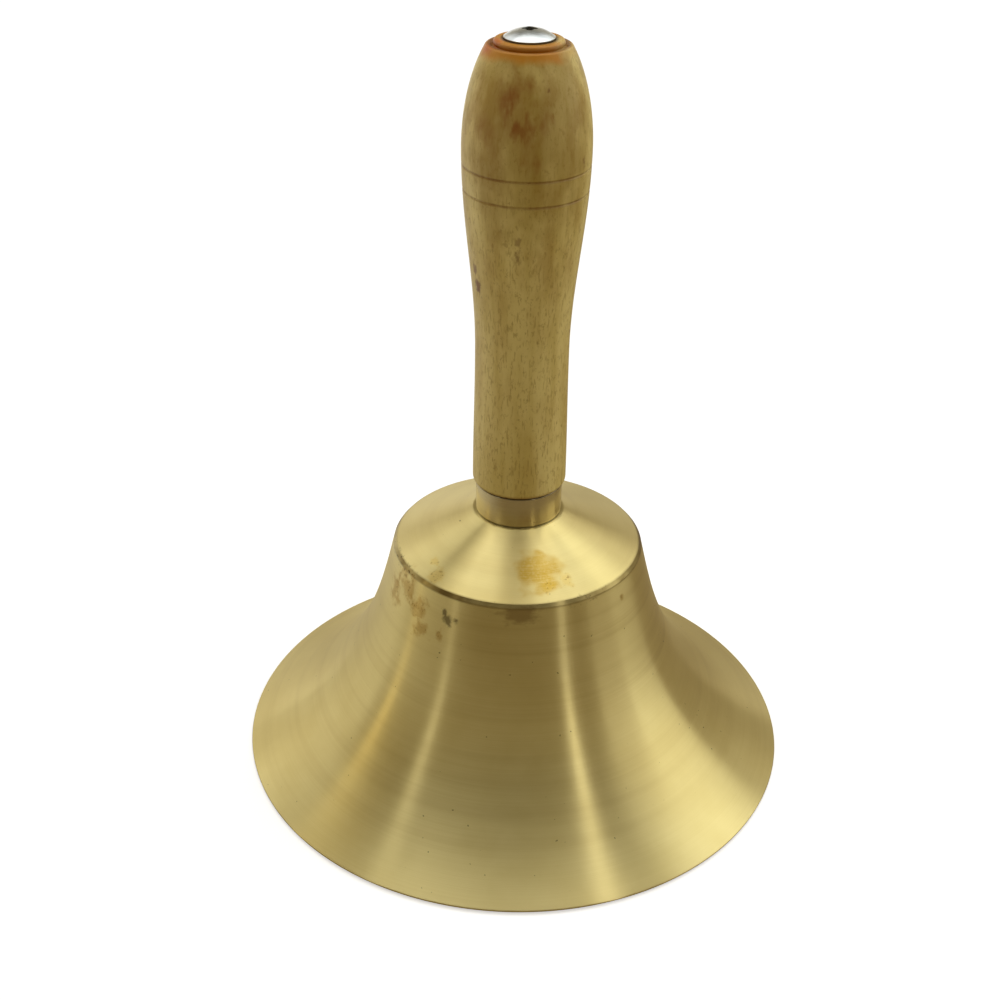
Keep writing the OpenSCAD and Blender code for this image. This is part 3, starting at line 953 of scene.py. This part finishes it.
def build_nut(name, node, body, bore_r, zinc):
    nut = hex_nut(node, 2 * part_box(node)[1].y - 2 * HAIR, bottom(node), top(node), bore_r)
    soften(finished(name, nut, body, zinc, [node]), 0.1 * MM, 24)


def build_bell():
    bell = revolve("bell", bell_outline(), 288)
    finished("bell", bell, "bell", bell_brass(), ["bell_shell"])
    outline = washer_outline(SCREW_HOLE_R, COLLAR_R, CROWN_TOP, HANDLE_FOOT, 0.3 * MM)
    collar = revolve("collar", outline, 160)
    finished("collar", collar, "bell", collar_brass(), ["neck_collar"])


def build_handle():
    mesh = revolve("turned_handle", handle_outline(), 144)
    finished("turned_handle", mesh, "bell", handle_wood(), ["handle"])


def build_stack(bright, zinc, spring):
    """The screw and what it clamps, from the head down to the lock nut."""
    head = combined(revolve("head", screw_outline(), 96), [cross_recess()], "DIFFERENCE")
    shaft = rod("shaft", SCREW_R - HAIR, bottom("tie_screw"), HANDLE_TOP - 7 * MM, SCREW_PITCH,
                CROWN_UNDER - MM, 0.5 * MM)
    screw = finished("screw", sharpened(combined(head, [shaft], "UNION"), 38),
                     "bell", bright, ["tie_screw"])
    soften(screw, 0.05 * MM, 50)
    for node, bore_r in (("crown_washer", SCREW_HOLE_R), ("yoke_washer", SCREW_R + 0.1 * MM)):
        outline = washer_outline(bore_r, reach(node) - HAIR, bottom(node), top(node), 0.22 * MM)
        finished(node + "_turned", revolve(node, outline, 96), "bell", zinc, [node])
    for node in ("crown_nut", "yoke_lock_nut"):
        build_nut(node + "_turned", node, "bell", SCREW_R, zinc)
    ring = split_washer("lock_washer")
    finished("lock_washer", ring, "bell", spring, ["crown_lock_washer"])


def build_yoke(plain):
    strap = finished("yoke_strap", yoke_strap("yoke_strap"), "yoke", plain, ["clapper_yoke"])
    soften(strap, 0.2 * MM)
    rivet = laid_on_pin(revolve("rivet", pin_outline(), 64))
    finished("rivet", rivet, "yoke", plain, ["yoke_pin"])
    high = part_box("pin_spacers")[1]
    length = high.y - EYE_T / 2 - 0.05 * MM
    spacer = washer_outline(PIN_R, high.x - HAIR, high.y - length, high.y, 0.2 * MM)
    tubes = bmesh.new()
    for side in (-1, 1):
        tubes.from_mesh(laid_on_pin(revolve("tube", spacer, 64), side))
    both = new_mesh("spacers", tubes)
    finished("spacers", sharpened(both, 40), "yoke", spacer_brass(), ["pin_spacers"])


def build_clapper(plain, zinc):
    finished("clapper_rod", clapper_rod(), "clapper", plain, ["clapper_shank"])
    finished("ball", revolve("ball", ball_outline(), 128), "clapper", plain, ["clapper_ball"])
    build_nut("ball_nut", "clapper_nut", "clapper", SHANK_R, zinc)


# ---------------------------------------------------------------- studio


def floor():
    """A white floor that only shows the faint shade under the bell. The brass sees it as a dim one."""
    made = bmesh.new()
    bmesh.ops.create_circle(made, cap_ends=True, segments=96, radius=3.0)
    mesh = new_mesh("floor", made)
    disc = bpy.data.objects.new("floor", mesh)
    bpy.context.scene.collection.objects.link(disc)
    s = Surface("floor_white")
    paint = s.add("ShaderNodeBsdfDiffuse", {"Color": (0.86, 0.86, 0.85, 1.0)})
    glow = s.add("ShaderNodeEmission", {"Color": (1.0, 1.0, 1.0, 1.0), "Strength": 0.55})
    near = s.add("ShaderNodeAddShader", {0: paint.outputs[0], 1: glow.outputs[0]})
    far = s.add("ShaderNodeEmission", {"Color": (1.0, 1.0, 1.0, 1.0), "Strength": 1.05})
    shade_from, shade_to = 80 * MM, 160 * MM
    away = s.grade(s.distance_to_axis(), shade_from, shade_to)
    shown = s.add("ShaderNodeMixShader", {0: away, 1: near.outputs[0], 2: far.outputs[0]})
    # What the brass sees of it: dim and warm in front, pale behind on the left
    back_left = (-0.9, 0.45, 0.0)
    along = s.add("ShaderNodeVectorMath", {0: s.place, 1: back_left}, operation="DOT_PRODUCT")
    pale = s.grade(along.outputs["Value"], 30 * MM, 250 * MM)
    shade = s.blend(pale, (0.34, 0.27, 0.17, 1.0), (0.8, 0.79, 0.76, 1.0))
    dim = s.add("ShaderNodeBsdfDiffuse", {"Color": shade})
    strength = s.math("MULTIPLY", pale, 0.25)
    lit = s.add("ShaderNodeEmission", {"Color": (1.0, 1.0, 0.97, 1.0), "Strength": strength})
    mirrored = s.add("ShaderNodeAddShader", {0: dim.outputs[0], 1: lit.outputs[0]})
    seen = s.add("ShaderNodeLightPath").outputs["Is Camera Ray"]
    mixed = s.add("ShaderNodeMixShader", {0: seen, 1: mirrored.outputs[0], 2: shown.outputs[0]})
    s.add("ShaderNodeOutputMaterial", {"Surface": mixed.outputs[0]})
    mesh.materials.append(s.material)


def world():
    """White to the camera. The brass sees a dim warm room low down, and a dark one above it."""
    low, high, white = (0.31, 0.26, 0.175, 1.0), (0.11, 0.095, 0.065, 1.0), (1.0, 1.0, 1.0, 1.0)
    made = bpy.data.worlds.new("studio")
    bpy.context.scene.world = made
    made.use_nodes = True
    tree = made.node_tree
    tree.nodes.clear()
    where = add_node(tree, "ShaderNodeTexCoord").outputs["Generated"]
    up = add_node(tree, "ShaderNodeSeparateXYZ", {0: where}).outputs[2]
    change = {"Value": up, "From Min": 0.42, "From Max": 0.66}
    rise = add_node(tree, "ShaderNodeMapRange", change, interpolation_type="SMOOTHSTEP").outputs[0]
    shade = add_node(tree, "ShaderNodeMix", {0: rise, 6: low, 7: high}, data_type="RGBA").outputs[2]
    seen = add_node(tree, "ShaderNodeLightPath").outputs["Is Camera Ray"]
    colour = add_node(tree, "ShaderNodeMix", {0: seen, 6: shade, 7: white}, data_type="RGBA").outputs[2]
    back = add_node(tree, "ShaderNodeBackground", {"Color": colour, "Strength": 1.0})
    add_node(tree, "ShaderNodeOutputWorld", {"Surface": back.outputs[0]})


def softbox(name, azimuth, elevation, wide, tall, radiance, colour=(1.0, 1.0, 1.0), lean=0):
    """A rectangle of light aimed at the bell from 0.9 m away.

    Azimuth 0 is in front and 90 is towards +X. Width and height are angles in degrees as the bell
    sees them, and radiance is the brightness of the surface. A lean, in degrees, tips the top of a
    light in front of the bell towards +X.
    """
    distance = 0.9
    width, height = (2 * distance * math.tan(math.radians(angle / 2)) for angle in (wide, tall))
    lamp = bpy.data.lights.new(name, "AREA")
    lamp.shape = "RECTANGLE"
    lamp.size = width
    lamp.size_y = height
    lamp.color = colour
    lamp.energy = radiance * math.pi * width * height
    made = bpy.data.objects.new(name, lamp)
    bpy.context.scene.collection.objects.link(made)
    a, e = math.radians(azimuth), math.radians(elevation)
    back = Vector((math.sin(a) * math.cos(e), -math.cos(a) * math.cos(e), math.sin(e)))
    made.location = Vector((0, 0, 0.4 * cad_high.z)) + back * distance
    tipped = back.to_track_quat("Z", "Y").to_matrix() @ Matrix.Rotation(math.radians(-lean), 3, "Z")
    made.rotation_euler = tipped.to_euler()
    made.visible_camera = False


def lights():
    """A pale wall and narrow strips on each side, lights behind, and a broad one overhead."""
    cool, gold = (0.97, 1.0, 1.0), (1.0, 0.82, 0.45)
    softbox("right_wall", 97, 22, 28, 66, 0.9, cool)
    softbox("right_fill", 72, 20, 26, 50, 0.42)
    softbox("right_strip", 40, 28, 4.5, 66, 1.5, lean=9)
    softbox("right_high", 118, 50, 26, 34, 0.8, cool)
    softbox("left_wall", -115, 31, 38, 74, 0.4)
    softbox("left_gold", -88, 26, 5, 66, 0.95, gold, lean=-3)
    softbox("left_strip", -56, 26, 4, 70, 0.85, lean=-12)
    softbox("rear_left", -138, 36, 28, 28, 0.75)
    softbox("rear_low_left", -158, 8, 50, 24, 0.7)
    softbox("rear_right", 138, 38, 26, 32, 1.0)
    softbox("rear_low_right", 158, 6, 40, 20, 0.5)
    softbox("overhead", 180, 85, 56, 44, 1.42)


def camera():
    """Looks down at the bell from in front, about 0.4 m from the middle of its mouth."""
    lens = bpy.data.cameras.new("camera")
    lens.sensor_width = 36.0
    lens.lens = 53.3
    made = bpy.data.objects.new("camera", lens)
    bpy.context.scene.collection.objects.link(made)
    made.location = (-0.0044, -0.3018, 0.2481)
    down, roll = math.radians(30.98), math.radians(0.93)
    upright = Matrix.Rotation(math.pi / 2 - down, 4, "X")
    made.matrix_world = Matrix.Translation(made.location) @ upright @ Matrix.Rotation(roll, 4, "Z")
    bpy.context.scene.camera = made


bpy.context.scene.view_settings.view_transform = "Standard"
camera()
world()
floor()
lights()
zinc_steel = even_steel("zinc_steel", (214, 219, 221), (180, 187, 192), 0.26, 1500.0, 0.001 * MM)
plain_steel = even_steel("plain_steel", (176, 178, 180), (120, 121, 122), 0.34, 1200.0, 0.008 * MM)
spring_steel = even_steel("spring_steel", (120, 122, 126), (74, 75, 78), 0.4, 1400.0, 0.008 * MM)
build_bell()
build_handle()
build_stack(screw_zinc(), zinc_steel, spring_steel)
build_yoke(plain_steel)
build_clapper(plain_steel, zinc_steel)
